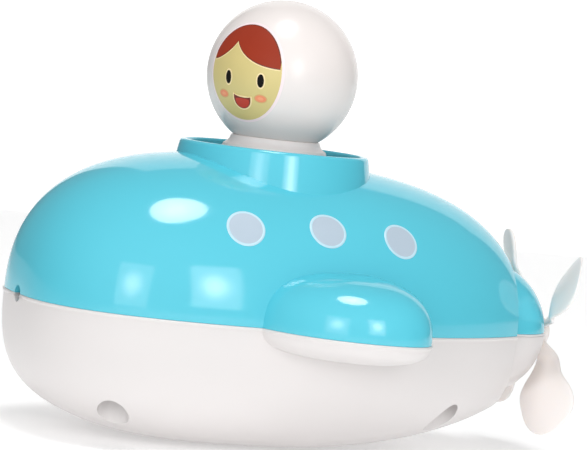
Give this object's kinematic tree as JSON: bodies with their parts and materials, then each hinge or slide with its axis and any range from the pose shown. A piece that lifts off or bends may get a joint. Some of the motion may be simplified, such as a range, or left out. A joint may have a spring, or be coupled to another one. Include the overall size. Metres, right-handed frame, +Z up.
{
  "type": "toy submarine",
  "caption": "Bath toy submarine with a two-part egg-shaped hull, side fins, an open cockpit, a lift-out doll passenger and a clockwork-driven stern propeller.",
  "frame": {"origin": "middle of the bounding box in plan, on the surface that the hull stands on", "axes": "+X towards the bow, +Y to port, +Z up; the seam between the hull halves is level"},
  "size_m": [0.1865, 0.1552, 0.1404],
  "materials": {
    "turquoise_shell": "glossy moulded plastic, turquoise",
    "white_shell": "satin moulded plastic, warm white",
    "passenger_white": "satin moulded plastic, white",
    "propeller_white": "satin moulded plastic, white",
    "bearing_white": "dull low-friction plastic, off-white",
    "case_grey": "dull moulded plastic, grey",
    "gear_plastic": "dull moulded plastic, straw yellow",
    "seal_rubber": "black rubber",
    "screw_steel": "plated steel",
    "shaft_steel": "drawn steel rod",
    "ballast_steel": "sawn flat steel bar",
    "spring_steel": "blued spring strip"
  },
  "bodies": {
    "hull": {"upper_hull": "turquoise_shell", "lower_hull": "white_shell", "hull_screw_1": "screw_steel", "hull_screw_2": "screw_steel", "hull_screw_3": "screw_steel", "hull_screw_4": "screw_steel", "ballast_bar": "ballast_steel", "ballast_screw_1": "screw_steel", "ballast_screw_2": "screw_steel", "clockwork_case": "case_grey", "clockwork_lid": "case_grey", "lid_seal": "seal_rubber", "lid_screw_1": "screw_steel", "lid_screw_2": "screw_steel", "lid_screw_3": "screw_steel", "case_screw_1": "screw_steel", "case_screw_2": "screw_steel", "shaft_seal": "seal_rubber", "stern_bush": "bearing_white"},
    "propeller_unit": {"propeller": "propeller_white", "propeller_cap": "propeller_white", "propeller_shaft": "shaft_steel", "propeller_pinion": "gear_plastic"},
    "layshaft": {"lay_shaft": "shaft_steel", "lay_wheel": "gear_plastic", "lay_pinion": "gear_plastic"},
    "spring_barrel": {"spring_arbor": "shaft_steel", "spring_wheel": "gear_plastic", "mainspring": "spring_steel"},
    "swivel": {"swivel_peg": "bearing_white", "peg_washer": "shaft_steel", "peg_screw": "screw_steel"},
    "passenger": {"passenger_head": "passenger_white", "passenger_body": "passenger_white", "passenger_base": "passenger_white"}
  },
  "joints": [
    {"name": "propeller_spin", "type": "hinge", "parent": "hull", "child": "propeller_unit", "pos_m": [-0.0905, 0, 0.0407], "axis": [1, 0, 0], "continuous": true},
    {"name": "layshaft_spin", "type": "hinge", "parent": "hull", "child": "layshaft", "pos_m": [-0.03, 0.00893, 0.02992], "axis": [1, 0, 0], "continuous": true},
    {"name": "spring_spin", "type": "hinge", "parent": "hull", "child": "spring_barrel", "pos_m": [-0.03, -0.00687, 0.0268], "axis": [1, 0, 0], "continuous": true},
    {"name": "passenger_swivel", "type": "hinge", "parent": "hull", "child": "swivel", "pos_m": [0.0127, 0, 0.0696], "axis": [0, 0, 1], "continuous": true},
    {"name": "passenger_lift", "type": "slide", "parent": "swivel", "child": "passenger", "axis": [0, 0, 1], "range_m": [0, 0.045]}
  ],
  "couplings": [
    {"joint": "layshaft_spin", "follows": "propeller_spin", "ratio": -0.33333},
    {"joint": "spring_spin", "follows": "propeller_spin", "ratio": 0.092593}
  ]
}
